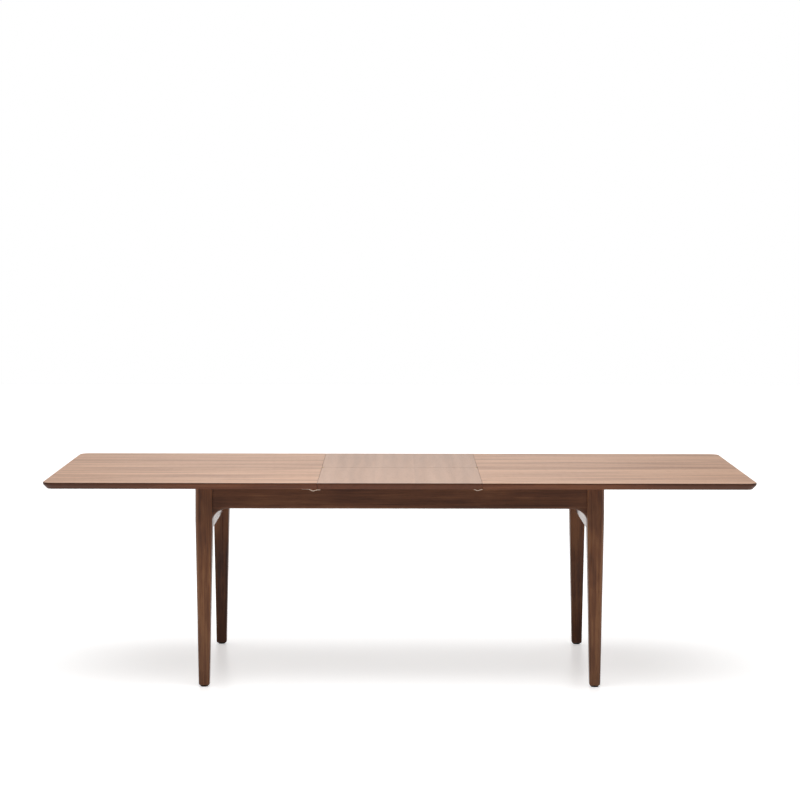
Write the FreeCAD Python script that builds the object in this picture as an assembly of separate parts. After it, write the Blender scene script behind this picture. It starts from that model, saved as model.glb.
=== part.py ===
import FreeCAD
import Part
import math
import os

# Extending dining table, drawn out with its folding leaf in place.
# Millimetres, +Z up, +X along the length. The origin is on the floor under the middle.

V = FreeCAD.Vector
ORIGIN = V(0, 0, 0)
X_AXIS = V(1, 0, 0)
Y_AXIS = V(0, 1, 0)
Z_AXIS = V(0, 0, 1)
DOWN = V(0, 0, -1)
BOLT_DIRECTION = V(1, 1, 0).normalize()
SIDES = {"left": -1, "right": 1}
FACES = {"front": -1, "back": 1}

# Table as a whole
closed_length = 2000.0
leaf_opening = 600.0
top_width = 1000.0
table_height = 760.0
end_overhang = 250.0
side_overhang = 66.0

# Tops and leaf
top_thickness = 24.0
corner_radius = 38.0
edge_bevel = 16.0
bevel_round = 9.0
arris_round = 1.5
seam_gap = 0.6
split_gap = 0.6
split_chamfer = 2.0
leaf_undercut = 1.2
leaf_lift_off = 0.3

# Legs and glides
leg_width = 64.0
leg_foot_width = 40.0
leg_block_height = 116.0
leg_outer_radius = 26.0
leg_foot_outer_radius = 15.0
leg_edge_radius = 5.0
leg_foot_chamfer = 2.5
leg_top_gap = 2.0
glide_diameter = 28.0
glide_height = 6.0
glide_pin_diameter = 6.0
glide_pin_length = 22.0

# Rails
rail_thickness = 22.0
rail_depth = 78.0
rail_setback = 9.0
rail_edge_radius = 9.0
ear_radius = 60.0
ear_drop = 37.0
end_rail_thickness = 24.0
end_rail_depth = 181.0
end_rail_setback = 22.0
end_rail_edge_radius = 4.0
strip_thickness = 1.2
strip_width = 12.0
strip_end_gap = 6.0
slide_gap = 0.3

# Tenons
tenon_thickness = 10.0
tenon_length = 24.0
tenon_height = 40.0
tenon_drop = 26.0
tenon_clearance = 0.2

# Corner blocks and their bolts
block_depth = 34.0
block_height = 24.0
block_drop = 1.5
bolt_diameter = 8.0
bolt_grip = 34.0
bolt_stand = 14.0
bolt_clearance = 0.15
washer_diameter = 18.0
washer_thickness = 1.6
nut_flats = 13.0
nut_height = 6.5

# Runners, guides and bearers
runner_width = 24.0
runner_height = 40.0
runner_relief = 1.0
runner_tail_past_guide = 10.0
runner_end_room = 44.0
runner_seat_inset = 20.0
runner_rail_room = 87.0
runner_pitch = 54.0
groove_height = 8.0
groove_depth = 5.5
tongue_height = 7.2
tongue_depth = 5.0
guide_clearance = 0.4
guide_length = 380.0
guide_wall = 16.0
guide_top_gap = 3.0
bearer_guide_inset = 40.0
bearer_width = 60.0
bearer_height = 25.0
bearer_gap = 0.5
bearer_tenon_length = 12.0
bearer_tenon_width = 40.0
bearer_tenon_height = 12.0
spine_width = 90.0
spine_tongue_depth = 10.0
spine_tongue_height = 10.0

# Lever, rods and brackets that make both tops move alike
link_end_room = 94.0
flat_width = 25.0
flat_thickness = 3.0
flat_gap = 0.4
pivot_diameter = 10.0
pivot_depth = 18.0
pivot_head_diameter = 18.0
link_pin_diameter = 8.0
link_head_diameter = 14.0
link_head_height = 1.5
pin_clearance = 0.3
bracket_width = 40.0
bracket_foot = 40.0
bracket_reach = 14.0
bracket_web_offset = 16.0

# Screws
screw_diameter = 4.4
screw_head_diameter = 8.0
screw_head_height = 2.5
screw_clearance = 0.15
screw_bite = 12.0
runner_counterbore = 14.0
guide_counterbore = 3.0
guide_screw_bite = 18.0

# Seam clips
clip_thickness = 1.2
clip_width = 12.0
clip_drop = 7.0
clip_nose_drop = 2.5
clip_flange = 26.0
clip_bend_run = 16.0
clip_nose_run = 10.0
left_clip_inset = 44.0
right_clip_inset = 59.0

# Link hinges of the leaf
hinge_pin_offset = 12.0
hinge_pin_depth = 3.2
hinge_eye_radius = 2.8
hinge_pin_diameter = 2.4
hinge_plate_length = 58.0
hinge_plate_height = 9.8
hinge_plate_drop = 2.2
hinge_plate_thickness = 1.6
hinge_layer_gap = 0.2
hinge_cover = 1.3
hinge_clearance = 0.3
hinge_screw_diameter = 2.6
hinge_screw_head_diameter = 5.0
hinge_screw_head_height = 1.0
hinge_screw_length = 16.0

# One overrun serves every cut, and one tolerance every search for an edge
overrun = 5.0
edge_search = 0.05

# Places along a length, as shares of it
runner_screw_shares = (0.08, 0.5, 0.92)
hinge_screw_shares = (0.45, 0.85)

# Levels and places worked out from the sizes above
underside = table_height - top_thickness
leaf_underside = underside + leaf_lift_off
rail_top = underside - slide_gap - strip_thickness
rail_bottom = rail_top - rail_depth
seam_x = leaf_opening / 2
outer_x = (closed_length + leaf_opening) / 2
outer_y = top_width / 2
frame_length = closed_length - 2 * end_overhang
frame_width = top_width - 2 * side_overhang
leaf_half_x = seam_x - seam_gap
leg_x = frame_length / 2 - leg_width / 2
leg_y = frame_width / 2 - leg_width / 2
leg_inner_x = leg_x - leg_width / 2
leg_inner_y = leg_y - leg_width / 2
leg_top = underside - leg_top_gap
leg_taper_top = leg_top - leg_block_height
rail_outer_y = frame_width / 2 - rail_setback
rail_inner_y = rail_outer_y - rail_thickness
end_rail_outer_x = frame_length / 2 - end_rail_setback
end_rail_inner_x = end_rail_outer_x - end_rail_thickness
tenon_top = rail_top - tenon_drop
runner_outer_end = end_rail_inner_x - runner_end_room
runner_tail = guide_length / 2 + runner_tail_past_guide
left_runner_offset = rail_inner_y - runner_rail_room
right_runner_offset = left_runner_offset - runner_pitch
runner_top = underside - runner_relief
runner_bottom = runner_top - runner_height
groove_z = runner_bottom + runner_height / 2
bearer_offset = guide_length / 2 - bearer_guide_inset
bearer_top = runner_bottom - bearer_gap
bearer_bottom = bearer_top - bearer_height
bearer_mid = bearer_bottom + bearer_height / 2
lever_top = bearer_bottom - flat_gap
lever_bottom = lever_top - flat_thickness
rod_top = lever_bottom - flat_gap
rod_bottom = rod_top - flat_thickness
link_x = end_rail_inner_x - link_end_room
lever_arm = link_x / 2
runner_offsets = {"left": left_runner_offset, "right": right_runner_offset}
clip_offsets = {"left": outer_y - left_clip_inset, "right": outer_y - right_clip_inset}
hinge_plate_outer = leaf_half_x - hinge_cover - hinge_plate_thickness - hinge_layer_gap
hinge_plate_inner = hinge_plate_outer - hinge_plate_thickness
hinge_link_inner = hinge_plate_outer + hinge_layer_gap
hinge_link_outer = hinge_link_inner + hinge_plate_thickness
hinge_pin_z = table_height - hinge_pin_depth
hinge_eye_top = hinge_pin_z + hinge_eye_radius
hinge_plate_top = hinge_eye_top - hinge_plate_drop
hinge_plate_bottom = hinge_plate_top - hinge_plate_height


def write(node, *solids):
    """One sub-part: a single solid, or a group of separate solids."""
    shape = solids[0] if len(solids) == 1 else Part.makeCompound(list(solids))
    shape.exportStep("parts/" + node + ".step")


def box(xs, ys, zs):
    """Box between two values on each axis, given in either order."""
    low = V(min(xs), min(ys), min(zs))
    return Part.makeBox(max(xs) - low.x, max(ys) - low.y, max(zs) - low.z, low)


def centred(middle, size):
    """Range of the given size about a middle."""
    return (middle - size / 2, middle + size / 2)


def rod(start, direction, diameter, length):
    return Part.makeCylinder(diameter / 2, length, start, direction)


def prism(points, sweep):
    return Part.Face(Part.makePolygon(points + points[:1])).extrude(sweep)


def joined(*shapes):
    return shapes[0].fuse(list(shapes[1:])).removeSplitter()


def mirror_x(shape):
    return shape.mirror(ORIGIN, X_AXIS)


def mirror_y(shape):
    return shape.mirror(ORIGIN, Y_AXIS)


def at_corners(shape):
    """Copies of a back right piece at the four corners, by name."""
    return {
        "back_right": shape,
        "back_left": mirror_x(shape),
        "front_right": mirror_y(shape),
        "front_left": mirror_x(mirror_y(shape)),
    }


def rounded_rectangle(xs, ys, z, radii):
    """Wire with a radius per corner: (+x +y), (-x +y), (-x -y), (+x -y). Zero is a sharp corner."""
    signs = ((1, 1), (-1, 1), (-1, -1), (1, -1))
    stops = []
    for (sx, sy), radius in zip(signs, radii):
        corner = V(max(xs) if sx > 0 else min(xs), max(ys) if sy > 0 else min(ys), z)
        centre = corner - V(sx * radius, sy * radius, 0)
        ends = [centre + V(sx * radius, 0, 0), centre + V(0, sy * radius, 0)]
        if sx * sy < 0:
            ends.reverse()
        reach = radius / math.sqrt(2)
        stops.append((ends[0], centre + V(sx * reach, sy * reach, 0), ends[1], radius))
    edges = []
    for index, (start, middle, end, radius) in enumerate(stops):
        edges.append(Part.makeLine(stops[index - 1][2], start))
        if radius:
            edges.append(Part.Arc(start, middle, end).toShape())
    return Part.Wire(Part.__sortEdges__(edges))


def edges_where(shape, test):
    return [edge for edge in shape.Edges if test(edge.BoundBox)]


def level(low, high, value):
    """True when a range lies at one value."""
    return abs(low - value) < edge_search and abs(high - value) < edge_search


def screw(start, direction, length):
    """Round-head wood screw: the head's outer face is at start, and it points along direction."""
    head = rod(start, direction, screw_head_diameter, screw_head_height)
    return joined(head, rod(start, direction, screw_diameter, length))


def screw_hole(start, direction, length, counterbore):
    """Room for such a screw whose head lies a counterbore's depth inside a face."""
    room = 2 * screw_clearance
    sunk = start - direction * counterbore
    head = rod(sunk, direction, screw_head_diameter + room, counterbore + screw_head_height)
    return joined(head, rod(sunk, direction, screw_diameter + room, counterbore + length + screw_clearance))


def finish_outer_edges(solid, bottom, is_inner):
    """Bevel the lower outer edge, soften where the bevel begins, and round the upper arris."""
    def outer_edges(shape, height):
        return edges_where(shape, lambda b: level(b.ZMin, b.ZMax, height) and not is_inner(b))
    bevelled = solid.makeChamfer(edge_bevel, outer_edges(solid, bottom))
    softened = bevelled.makeFillet(bevel_round, outer_edges(bevelled, bottom + edge_bevel))
    return softened.makeFillet(arris_round, outer_edges(softened, table_height))


def top_slab(side):
    """End top: its inner edge is square at the seam, and its other three edges are bevelled."""
    radii = (corner_radius, 0, 0, corner_radius)
    wire = rounded_rectangle((seam_x, outer_x), (-outer_y, outer_y), underside, radii)
    slab = Part.Face(wire).extrude(V(0, 0, top_thickness))
    slab = finish_outer_edges(slab, underside, lambda b: level(b.XMin, b.XMax, seam_x))
    return slab if side > 0 else mirror_x(slab)


def runner(name, side, face):
    """Grooved runner: raised where it is fixed to its top, and relieved under the leaf."""
    y = face * runner_offsets[name]
    xs = (-side * runner_tail, side * runner_outer_end)
    bar = box(xs, centred(y, runner_width), (runner_bottom, runner_top))
    for edge in (-1, 1):
        wall = y + edge * runner_width / 2
        groove = (wall - edge * groove_depth, wall + edge * overrun)
        bar = bar.cut(box(xs, groove, centred(groove_z, groove_height)))
    seat = (side * (seam_x + runner_seat_inset), side * runner_outer_end)
    return joined(bar, box(seat, centred(y, runner_width), (runner_top, underside)))


def runner_screw_starts(name, side):
    """Head centres of the screws up through the runners of one top."""
    first = seam_x + runner_seat_inset
    starts = []
    for face in FACES.values():
        for share in runner_screw_shares:
            x = first + share * (runner_outer_end - first)
            starts.append(V(side * x, face * runner_offsets[name], runner_bottom + runner_counterbore))
    return starts


def bracket(side):
    """Bent bracket that hangs from a top and carries the rod's pin."""
    web = side * (link_x + bracket_web_offset)
    ys = centred(0, bracket_width)
    foot = box((web, web + side * bracket_foot), ys, (underside - flat_thickness, underside))
    plate = box((web, web + side * flat_thickness), ys, (lever_bottom, underside))
    shelf = box((side * (link_x - bracket_reach), web + side * flat_thickness), ys, (lever_bottom, lever_top))
    head_top = rod_bottom - flat_gap
    pin = rod(V(side * link_x, 0, lever_top), DOWN, link_pin_diameter, lever_top - head_top)
    head = rod(V(side * link_x, 0, head_top), DOWN, link_head_diameter, link_head_height)
    return joined(foot, plate, shelf, pin, head)


def bracket_screw_starts(side):
    x = side * (link_x + bracket_web_offset + bracket_foot / 2)
    z = underside - flat_thickness - screw_head_height
    return [V(x, face * bracket_width / 4, z) for face in FACES.values()]


def clip(name, face):
    """Bent spring strip under a seam, fixed to the end top, with its low bend left of the seam."""
    side = SIDES[name]
    low = -clip_bend_run
    if side < 0:
        marks = ((low - clip_bend_run - clip_flange, 0), (low - clip_bend_run, 0), (low, clip_drop),
                 (low + clip_nose_run, clip_drop / 2), (clip_nose_run, clip_nose_drop))
    else:
        marks = ((clip_nose_run + clip_flange, 0), (clip_nose_run, 0),
                 (clip_nose_run - clip_bend_run, clip_drop / 2),
                 (low, clip_drop), (low - clip_bend_run, clip_thickness / 2))
    upper = [V(side * seam_x + run, 0, underside - drop) for run, drop in marks]
    lower = [point - V(0, 0, clip_thickness) for point in reversed(upper)]
    strip = prism(upper + lower, V(0, clip_width, 0))
    strip.translate(V(0, face * clip_offsets[name] - clip_width / 2, 0))
    return strip


def clip_screw_start(name, face):
    side = SIDES[name]
    run = clip_flange / 2 + (2 * clip_bend_run if side < 0 else clip_nose_run)
    z = underside - clip_thickness - screw_head_height
    return V(side * (seam_x + run), face * clip_offsets[name], z)


def write_tops():
    """Each end top with its runners, bracket, seam clips and screws."""
    for name, side in SIDES.items():
        slab = top_slab(side)
        runners = {face: runner(name, side, FACES[face]) for face in FACES}
        hanger = bracket(side)
        clips = [clip(name, face) for face in FACES.values()]
        long_length = underside + screw_bite - runner_bottom - runner_counterbore
        foot_length = screw_head_height + flat_thickness + screw_bite
        clip_length = screw_head_height + clip_thickness + screw_bite
        screws = []
        for start in runner_screw_starts(name, side):
            hole = screw_hole(start, Z_AXIS, long_length, runner_counterbore)
            slab = slab.cut(hole)
            runners = {face: bar.cut(hole) for face, bar in runners.items()}
            screws.append(screw(start, Z_AXIS, long_length))
        for start in bracket_screw_starts(side):
            hole = screw_hole(start, Z_AXIS, foot_length, 0)
            slab = slab.cut(hole)
            hanger = hanger.cut(hole)
            screws.append(screw(start, Z_AXIS, foot_length))
        for index, face in enumerate(FACES.values()):
            start = clip_screw_start(name, face)
            hole = screw_hole(start, Z_AXIS, clip_length, 0)
            slab = slab.cut(hole)
            clips[index] = clips[index].cut(hole)
            screws.append(screw(start, Z_AXIS, clip_length))
        write(name + "_top", slab)
        for face, bar in runners.items():
            write(name + "_runner_" + face, bar)
        write(name + "_link_bracket", hanger)
        write(name + "_seam_clips", *clips)
        write(name + "_top_screws", *screws)


def hinge_slot(side):
    """Room in the end of a leaf half for one hinge plate, and a notch for its eye and the link's swing."""
    y_end = hinge_pin_offset + hinge_plate_length
    xs = (side * (hinge_plate_inner - hinge_clearance / 2), side * (seam_x + overrun))
    plate_zs = (hinge_plate_bottom - hinge_clearance, hinge_plate_top + hinge_clearance)
    plate_room = box(xs, (-overrun, y_end + hinge_clearance), plate_zs)
    swing_ys = (-overrun, hinge_pin_offset + hinge_eye_radius + hinge_clearance)
    swing_zs = (hinge_pin_z - hinge_eye_radius - hinge_clearance, table_height + overrun)
    return joined(plate_room, box(xs, swing_ys, swing_zs))


def hinge_plate(side):
    """Plate let into the end of the back leaf half, with an eye and the pin on which the link turns."""
    ys = (hinge_pin_offset - hinge_eye_radius, hinge_pin_offset + hinge_plate_length)
    xs = (side * hinge_plate_inner, side * hinge_plate_outer)
    plate = box(xs, ys, (hinge_plate_bottom, hinge_plate_top))
    axis = X_AXIS * side
    start = V(side * hinge_plate_inner, hinge_pin_offset, hinge_pin_z)
    eye = rod(start, axis, 2 * hinge_eye_radius, hinge_plate_outer - hinge_plate_inner)
    pin = rod(start, axis, hinge_pin_diameter, hinge_link_outer - hinge_plate_inner)
    return joined(plate, eye, pin)


def hinge_link(side):
    """Short link between the two pins of one hinge."""
    thickness = hinge_link_outer - hinge_link_inner
    xs = (side * hinge_link_inner, side * hinge_link_outer)
    ys = (-hinge_pin_offset, hinge_pin_offset)
    bar = box(xs, ys, centred(hinge_pin_z, 2 * hinge_eye_radius))
    for y in ys:
        start = V(side * hinge_link_inner, y, hinge_pin_z)
        bar = joined(bar, rod(start, X_AXIS * side, 2 * hinge_eye_radius, thickness))
    for y in ys:
        start = V(side * (hinge_link_inner - overrun), y, hinge_pin_z)
        hole = hinge_pin_diameter + hinge_layer_gap
        bar = bar.cut(rod(start, X_AXIS * side, hole, thickness + 2 * overrun))
    return bar


def hinge_screw(side, share, room):
    """Small screw through a hinge plate into the end of the leaf, or the room for it."""
    y = hinge_pin_offset + share * hinge_plate_length
    z = (hinge_plate_top + hinge_plate_bottom) / 2
    inward = X_AXIS * -side
    start = V(side * (hinge_plate_outer + hinge_screw_head_height), y, z)
    head = rod(start, inward, hinge_screw_head_diameter + room, hinge_screw_head_height)
    shank = rod(start, inward, hinge_screw_diameter + room, hinge_screw_length + room)
    return joined(head, shank)


def leaf_half():
    """Back half of the leaf: bevelled behind, undercut at the seams so that it lifts out freely."""
    low_x = leaf_half_x - leaf_undercut
    y = split_gap / 2
    section = [V(-low_x, y, leaf_underside), V(low_x, y, leaf_underside),
               V(leaf_half_x, y, table_height), V(-leaf_half_x, y, table_height)]
    half = prism(section, V(0, outer_y - y, 0))
    half = finish_outer_edges(half, leaf_underside, lambda b: not level(b.YMin, b.YMax, outer_y))
    at_split = edges_where(half, lambda b: level(b.ZMin, b.ZMax, table_height) and level(b.YMin, b.YMax, y))
    half = half.makeChamfer(split_chamfer, at_split)
    for side in SIDES.values():
        half = half.cut(hinge_slot(side))
    return half


def write_leaf():
    """Both leaf halves with their hinge plates and screws, and the links between them."""
    half = leaf_half()
    plates = []
    screws = []
    for side in SIDES.values():
        plate = hinge_plate(side)
        for share in hinge_screw_shares:
            hole = hinge_screw(side, share, 2 * screw_clearance)
            half = half.cut(hole)
            plate = plate.cut(hole)
            screws.append(hinge_screw(side, share, 0))
        plates.append(plate)
    write("leaf_back", half)
    write("leaf_front", mirror_y(half))
    write("leaf_hinge_plates_back", *plates)
    write("leaf_hinge_plates_front", *[mirror_y(plate) for plate in plates])
    write("leaf_hinge_screws_back", *screws)
    write("leaf_hinge_screws_front", *[mirror_y(one) for one in screws])
    write("leaf_hinge_links", *[hinge_link(side) for side in SIDES.values()])


def tenon_box(room):
    """Tenon of the back rail in the back right leg, or its mortise with room around it."""
    xs = (leg_inner_x - room, leg_inner_x + tenon_length + room)
    ys = centred(rail_outer_y - rail_thickness / 2, tenon_thickness + 2 * room)
    return box(xs, ys, (tenon_top - tenon_height - room, tenon_top + room))


def end_tenon_box(room):
    """Tenon of the right end rail in the back right leg, or its mortise."""
    xs = centred(end_rail_outer_x - end_rail_thickness / 2, tenon_thickness + 2 * room)
    ys = (leg_inner_y - room, leg_inner_y + tenon_length + room)
    return box(xs, ys, (tenon_top - tenon_height - room, tenon_top + room))


def bolt_axis(along):
    """Point on the hanger bolt's line, measured from the leg's inner corner into the leg."""
    z = rail_top - block_drop - block_height / 2
    return V(leg_inner_x, leg_inner_y, z) + BOLT_DIRECTION * along


def bolt(diameter):
    start = bolt_axis(-block_depth - bolt_stand)
    return rod(start, BOLT_DIRECTION, diameter, bolt_stand + block_depth + bolt_grip)


def leg():
    """Back right leg: square block above, straight taper below, one well-rounded outer corner."""
    def section(width, z, outer_radius):
        radii = (outer_radius, leg_edge_radius, leg_edge_radius, leg_edge_radius)
        return rounded_rectangle(centred(leg_x, width), centred(leg_y, width), z, radii)
    sole_width = leg_foot_width - 2 * leg_foot_chamfer
    wires = [section(sole_width, glide_height, leg_foot_outer_radius - leg_foot_chamfer),
             section(leg_foot_width, glide_height + leg_foot_chamfer, leg_foot_outer_radius),
             section(leg_width, leg_taper_top, leg_outer_radius),
             section(leg_width, leg_top, leg_outer_radius)]
    post = Part.makeLoft(wires, True, True)
    post = post.cut(tenon_box(tenon_clearance)).cut(end_tenon_box(tenon_clearance))
    post = post.cut(bolt(bolt_diameter + 2 * bolt_clearance))
    socket = rod(V(leg_x, leg_y, 0), Z_AXIS, glide_pin_diameter + 2 * screw_clearance,
                 glide_height + glide_pin_length + screw_clearance)
    return post.cut(socket)


def glide():
    pad = rod(V(leg_x, leg_y, 0), Z_AXIS, glide_diameter, glide_height)
    return joined(pad, rod(V(leg_x, leg_y, 0), Z_AXIS, glide_pin_diameter, glide_height + glide_pin_length))


def corner_block():
    """Block across the back right corner, its slanted face square to the hanger bolt."""
    total = leg_inner_x + leg_inner_y - math.sqrt(2) * block_depth
    outline = ((total - rail_inner_y, rail_inner_y), (leg_inner_x, rail_inner_y), (leg_inner_x, leg_inner_y),
               (end_rail_inner_x, leg_inner_y), (end_rail_inner_x, total - end_rail_inner_x))
    z = rail_top - block_drop - block_height
    block = prism([V(x, y, z) for x, y in outline], V(0, 0, block_height))
    return block.cut(bolt(bolt_diameter + 2 * bolt_clearance))


def washer():
    start = bolt_axis(-block_depth - washer_thickness)
    disc = rod(start, BOLT_DIRECTION, washer_diameter, washer_thickness)
    return disc.cut(bolt(bolt_diameter + 2 * bolt_clearance))


def nut():
    seat = bolt_axis(-block_depth - washer_thickness - nut_height)
    across = BOLT_DIRECTION.cross(Z_AXIS)
    reach = nut_flats / math.sqrt(3)
    turns = [index * math.pi / 3 for index in range(6)]
    outline = [seat + across * (reach * math.cos(turn)) + Z_AXIS * (reach * math.sin(turn)) for turn in turns]
    return prism(outline, BOLT_DIRECTION * nut_height).cut(bolt(bolt_diameter + 2 * bolt_clearance))


def write_legs():
    for corner, solid in at_corners(leg()).items():
        write("leg_" + corner, solid)
    for corner, solid in at_corners(glide()).items():
        write("glide_" + corner, solid)
    for corner, solid in at_corners(corner_block()).items():
        write("corner_block_" + corner, solid)
    write("hanger_bolts", *at_corners(bolt(bolt_diameter)).values())
    write("hanger_washers", *at_corners(washer()).values())
    write("hanger_nuts", *at_corners(nut()).values())


def bearer_tenon(side, room):
    xs = centred(side * bearer_offset, bearer_tenon_width + 2 * room)
    ys = (rail_inner_y - room, rail_inner_y + bearer_tenon_length + room)
    return box(xs, ys, centred(bearer_mid, bearer_tenon_height + 2 * room))


def long_rail():
    """Back rail: a shallow board whose lower edge drops in a concave ear at each leg."""
    ear_length = math.sqrt(2 * ear_radius * ear_drop - ear_drop ** 2)
    ear_x = leg_inner_x - ear_length
    tip_z = rail_bottom - ear_drop
    tip_turn = math.atan2(ear_radius - ear_drop, ear_length)
    mid_turn = (tip_turn + math.pi / 2) / 2
    mid_x = ear_x + ear_radius * math.cos(mid_turn)
    mid_z = rail_bottom - ear_radius + ear_radius * math.sin(mid_turn)

    def point(x, z):
        return V(x, rail_inner_y, z)
    edges = [Part.makeLine(point(-leg_inner_x, rail_top), point(leg_inner_x, rail_top)),
             Part.makeLine(point(leg_inner_x, rail_top), point(leg_inner_x, tip_z)),
             Part.Arc(point(leg_inner_x, tip_z), point(mid_x, mid_z), point(ear_x, rail_bottom)).toShape(),
             Part.makeLine(point(ear_x, rail_bottom), point(-ear_x, rail_bottom)),
             Part.Arc(point(-ear_x, rail_bottom), point(-mid_x, mid_z), point(-leg_inner_x, tip_z)).toShape(),
             Part.makeLine(point(-leg_inner_x, tip_z), point(-leg_inner_x, rail_top))]
    board = Part.Face(Part.Wire(edges)).extrude(V(0, rail_thickness, 0))
    lower = edges_where(board, lambda b: level(b.YMin, b.YMax, rail_outer_y)
                        and b.ZMax < rail_bottom + edge_search)
    board = board.makeFillet(rail_edge_radius, lower)
    tenon = tenon_box(0)
    board = joined(board, tenon, mirror_x(tenon))
    for side in SIDES.values():
        board = board.cut(bearer_tenon(side, tenon_clearance))
    return board


def end_rail():
    """Right end rail: a deep straight board."""
    ys = (-leg_inner_y, leg_inner_y)
    board = box((end_rail_inner_x, end_rail_outer_x), ys, (rail_top - end_rail_depth, rail_top))
    lower = edges_where(board, lambda b: level(b.ZMin, b.ZMax, rail_top - end_rail_depth)
                        and level(b.XMin, b.XMax, end_rail_outer_x))
    board = board.makeFillet(end_rail_edge_radius, lower)
    tenon = end_tenon_box(0)
    return joined(board, tenon, mirror_y(tenon))


def write_rails():
    """Four rails, each with a low-friction strip on its upper edge."""
    board = long_rail()
    end = end_rail()
    strip_zs = (rail_top, rail_top + strip_thickness)
    strip_x = leg_inner_x - strip_end_gap
    strip_y = leg_inner_y - strip_end_gap
    long_strip = box((-strip_x, strip_x), centred((rail_inner_y + rail_outer_y) / 2, strip_width), strip_zs)
    end_strip_xs = centred((end_rail_inner_x + end_rail_outer_x) / 2, strip_width)
    end_strip = box(end_strip_xs, (-strip_y, strip_y), strip_zs)
    write("back_rail", board)
    write("front_rail", mirror_y(board))
    write("right_end_rail", end)
    write("left_end_rail", mirror_x(end))
    write("slide_strip_back", long_strip)
    write("slide_strip_front", mirror_y(long_strip))
    write("slide_strip_right", end_strip)
    write("slide_strip_left", mirror_x(end_strip))


def guide_ranges():
    """Each guide's span in Y on the back side, from the runners that it holds."""
    half = runner_width / 2 + guide_clearance
    inner_edge = right_runner_offset - half
    outer_edge = left_runner_offset + half
    return {
        "inner": (inner_edge - guide_wall, inner_edge),
        "middle": (right_runner_offset + half, left_runner_offset - half),
        "outer": (outer_edge, outer_edge + guide_wall),
    }


def guide(name):
    """Guide on the back side, with a tongue into each runner beside it."""
    xs = centred(0, guide_length)
    near, far = guide_ranges()[name]
    zs = centred(groove_z, tongue_height)
    reach = guide_clearance + tongue_depth
    bar = box(xs, (near, far), (bearer_top, underside - guide_top_gap))
    if name != "inner":
        bar = joined(bar, box(xs, (near - reach, near), zs))
    if name != "outer":
        bar = joined(bar, box(xs, (far, far + reach), zs))
    return bar


def bearer(side):
    """Cross bearer between the long rails, tenoned into both, grooved for the spine board."""
    xs = centred(side * bearer_offset, bearer_width)
    bar = box(xs, (-rail_inner_y, rail_inner_y), (bearer_bottom, bearer_top))
    tenon = bearer_tenon(side, 0)
    bar = joined(bar, tenon, mirror_y(tenon))
    near = side * (bearer_offset - bearer_width / 2)
    groove = (near - side * overrun, near + side * (spine_tongue_depth + tenon_clearance))
    ys = centred(0, spine_width + 2 * tenon_clearance)
    return bar.cut(box(groove, ys, centred(bearer_mid, spine_tongue_height + 2 * tenon_clearance)))


def spine_board():
    """Board between the bearers that carries the lever's pivot."""
    span = bearer_offset - bearer_width / 2
    ys = centred(0, spine_width)
    board = box((-span, span), ys, (bearer_bottom, bearer_top))
    reach = span + spine_tongue_depth
    tongues = box((-reach, reach), ys, centred(bearer_mid, spine_tongue_height))
    hole = rod(V(0, 0, bearer_bottom - overrun), Z_AXIS, pivot_diameter + 2 * screw_clearance,
               overrun + pivot_depth + screw_clearance)
    return joined(board, tongues).cut(hole)


def write_guides():
    """Bearers, spine board, guides, and the screws that hold the guides down."""
    bearers = {name: bearer(side) for name, side in SIDES.items()}
    screws = []
    start_z = bearer_bottom + guide_counterbore
    length = bearer_top + guide_screw_bite - start_z
    for guide_name, span in guide_ranges().items():
        bar = guide(guide_name)
        for name, side in SIDES.items():
            start = V(side * bearer_offset, sum(span) / 2, start_z)
            hole = screw_hole(start, Z_AXIS, length, guide_counterbore)
            bar = bar.cut(hole)
            bearers[name] = bearers[name].cut(hole).cut(mirror_y(hole))
            screws += [screw(start, Z_AXIS, length), mirror_y(screw(start, Z_AXIS, length))]
        write("guide_" + guide_name + "_back", bar)
        write("guide_" + guide_name + "_front", mirror_y(bar))
    for name, bar in bearers.items():
        write("bearer_" + name, bar)
    write("spine_board", spine_board())
    write("guide_screws", *screws)


def flat_bar(xs, top, hole_at):
    """Flat steel bar along X with round ends, and a hole per (place, diameter)."""
    bottom = top - flat_thickness
    bar = box(xs, centred(0, flat_width), (bottom, top))
    for x in xs:
        bar = joined(bar, rod(V(x, 0, bottom), Z_AXIS, flat_width, flat_thickness))
    for x, diameter in hole_at:
        bar = bar.cut(rod(V(x, 0, bottom - overrun), Z_AXIS, diameter, flat_thickness + 2 * overrun))
    return bar


def write_synchroniser():
    """Centre lever on its pivot, a rod to each top, and the pins that join them."""
    tight = link_pin_diameter + 2 * screw_clearance
    loose = link_pin_diameter + 2 * pin_clearance
    tips = (-lever_arm, lever_arm)
    lever_holes = [(tip, tight) for tip in tips] + [(0, pivot_diameter + 2 * pin_clearance)]
    write("sync_lever", flat_bar(tips, lever_top, lever_holes))
    head_top = rod_bottom - flat_gap
    pins = []
    for tip in tips:
        pin = rod(V(tip, 0, lever_top), DOWN, link_pin_diameter, lever_top - head_top)
        pins.append(joined(pin, rod(V(tip, 0, head_top), DOWN, link_head_diameter, link_head_height)))
    write("sync_lever_pins", *pins)
    for name, side in SIDES.items():
        ends = (side * lever_arm, side * link_x)
        write("sync_rod_" + name, flat_bar(ends, rod_top, [(end, loose) for end in ends]))
    pivot_head_top = lever_bottom - flat_gap
    pivot_top = bearer_bottom + pivot_depth
    shank = rod(V(0, 0, pivot_top), DOWN, pivot_diameter, pivot_top - pivot_head_top)
    head = rod(V(0, 0, pivot_head_top), DOWN, pivot_head_diameter, flat_thickness)
    write("sync_pivot_bolt", joined(shank, head))


os.makedirs("parts", exist_ok=True)
write_tops()
write_leaf()
write_legs()
write_rails()
write_guides()
write_synchroniser()
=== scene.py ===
import math

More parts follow.
